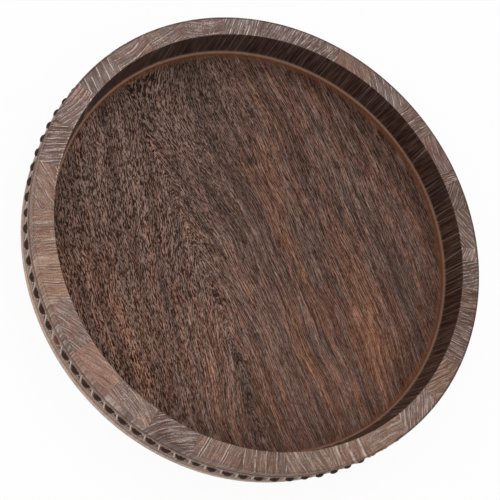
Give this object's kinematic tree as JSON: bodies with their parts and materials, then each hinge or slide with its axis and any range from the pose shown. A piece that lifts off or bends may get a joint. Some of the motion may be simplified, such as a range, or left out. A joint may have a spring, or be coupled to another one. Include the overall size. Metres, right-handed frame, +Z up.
{
  "type": "round serving tray",
  "caption": "Round wooden tray: a ring of end-grain blocks glued round a flat floor panel, with a row of dark half-round beads let into the outside of the rim.",
  "frame": {"origin": "on the table, under the middle of the tray", "axes": "+Z up out of the well; +X and +Y lie in the floor, and a viewer in front of the tray looks along +Y"},
  "size_m": [0.5028, 0.5028, 0.051],
  "materials": {
    "rim_wood": "brown end grain with a rubbed white wax in its growth rings and pores, matt",
    "filler_wood": "dark red-brown end grain, matt",
    "floor_wood": "dark brown open-grained wood with dark pores, satin",
    "bead_wood": "near-black stained beads on a whitewashed strip, satin"
  },
  "bodies": {
    "root": {"floor_panel": "floor_wood", "rim_block_01": "rim_wood", "rim_block_02": "rim_wood", "rim_block_03": "rim_wood", "rim_block_04": "rim_wood", "rim_block_05": "rim_wood", "rim_block_06": "rim_wood", "rim_block_07": "rim_wood", "rim_block_08": "rim_wood", "rim_block_09": "rim_wood", "rim_block_10": "rim_wood", "rim_block_11": "rim_wood", "rim_block_12": "rim_wood", "rim_block_13": "rim_wood", "rim_block_14": "rim_wood", "rim_block_15": "rim_wood", "rim_block_16": "rim_wood", "rim_block_17": "rim_wood", "rim_block_18": "rim_wood", "rim_block_19": "rim_wood", "rim_block_20": "rim_wood", "rim_block_21": "rim_wood", "rim_block_22": "rim_wood", "rim_block_23": "rim_wood", "rim_block_24": "rim_wood", "rim_block_25": "rim_wood", "rim_block_26": "rim_wood", "rim_block_27": "rim_wood", "rim_block_28": "rim_wood", "rim_block_29": "rim_wood", "rim_block_30": "rim_wood", "rim_block_31": "rim_wood", "rim_block_32": "rim_wood", "rim_filler_04": "filler_wood", "rim_filler_06": "filler_wood", "bead_strip_01": "bead_wood", "bead_strip_02": "bead_wood", "bead_strip_03": "bead_wood", "bead_strip_04": "bead_wood", "bead_strip_05": "bead_wood", "bead_strip_06": "bead_wood", "bead_strip_07": "bead_wood", "bead_strip_08": "bead_wood", "bead_strip_09": "bead_wood", "bead_strip_10": "bead_wood", "bead_strip_11": "bead_wood", "bead_strip_12": "bead_wood", "bead_strip_13": "bead_wood", "bead_strip_14": "bead_wood", "bead_strip_15": "bead_wood", "bead_strip_16": "bead_wood"}
  },
  "joints": []
}
